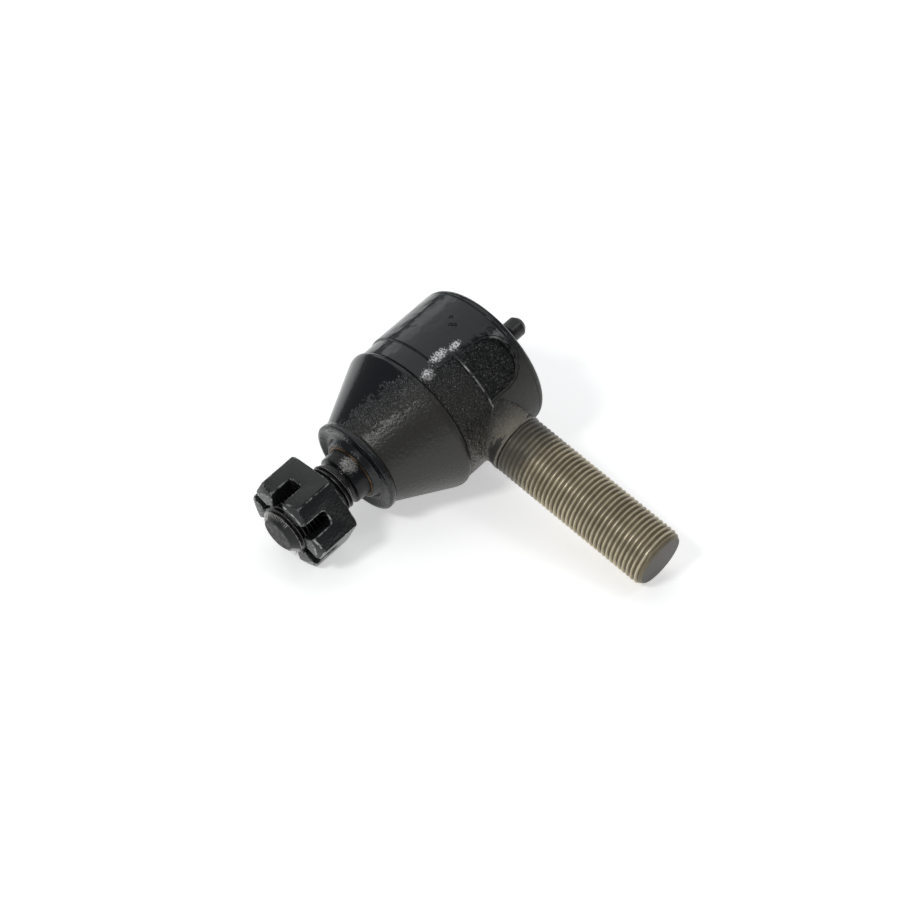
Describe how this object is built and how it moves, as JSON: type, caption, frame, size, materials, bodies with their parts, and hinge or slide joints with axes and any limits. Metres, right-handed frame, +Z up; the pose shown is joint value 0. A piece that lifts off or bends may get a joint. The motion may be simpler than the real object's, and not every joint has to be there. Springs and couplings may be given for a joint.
{
  "type": "tie rod end",
  "caption": "Outer tie rod end: forged head with a greasable ball stud in a rubber boot, castle nut, and a threaded shank at right angles to the stud.",
  "frame": {"origin": "centre of the ball", "axes": "+Z up as the part lies on a table on its boot, nut and shank end. The shank's axis is in the XZ plane, dipping 13 degrees below +X. The stud points towards -Y, dipping 12.7 degrees."},
  "size_m": [0.1114, 0.1032, 0.0558],
  "materials": {
    "black_paint": "gloss",
    "blackened_steel": "satin",
    "stud_steel": "satin",
    "boot_rubber": "matte",
    "bearing_plastic": "matte",
    "spring_steel": "satin",
    "plated_ring": "satin"
  },
  "bodies": {
    "housing": {"housing": "black_paint", "front_bearing": "bearing_plastic", "preload_spring": "spring_steel", "cover_plate": "black_paint", "grease_fitting": "blackened_steel", "fitting_spring": "spring_steel"},
    "seat": {"pressure_seat": "bearing_plastic", "dust_boot": "boot_rubber", "boot_base_ring": "spring_steel"},
    "boot_lip": {"boot_lip_ring": "plated_ring"},
    "stud": {"ball_stud": "stud_steel"},
    "nut": {"castle_nut": "blackened_steel"},
    "check_ball": {"fitting_ball": "spring_steel"}
  },
  "joints": [
    {"name": "stud_turn", "type": "hinge", "parent": "housing", "child": "seat", "pos_m": [0, 0, 0], "axis": [-0.0506, -0.9744, -0.2192], "continuous": true},
    {"name": "stud_tilt", "type": "hinge", "parent": "seat", "child": "boot_lip", "pos_m": [0, 0, 0], "axis": [-0.2192, 0.225, -0.9494], "range_deg": [-20, 20], "deforming": ["dust_boot"]},
    {"name": "stud_spin", "type": "hinge", "parent": "boot_lip", "child": "stud", "pos_m": [0, 0, 0], "axis": [-0.0506, -0.9744, -0.2192], "continuous": true},
    {"name": "nut_thread", "type": "slide", "parent": "stud", "child": "nut", "axis": [-0.0506, -0.9744, -0.2192], "range_m": [-0.005, 0.02]},
    {"name": "check_ball_push", "type": "slide", "parent": "housing", "child": "check_ball", "axis": [-0.0506, -0.9744, -0.2192], "range_m": [0, 0.0008], "stiffness_N_per_m": 200, "springref_m": -0.001, "deforming": ["fitting_spring"]}
  ]
}
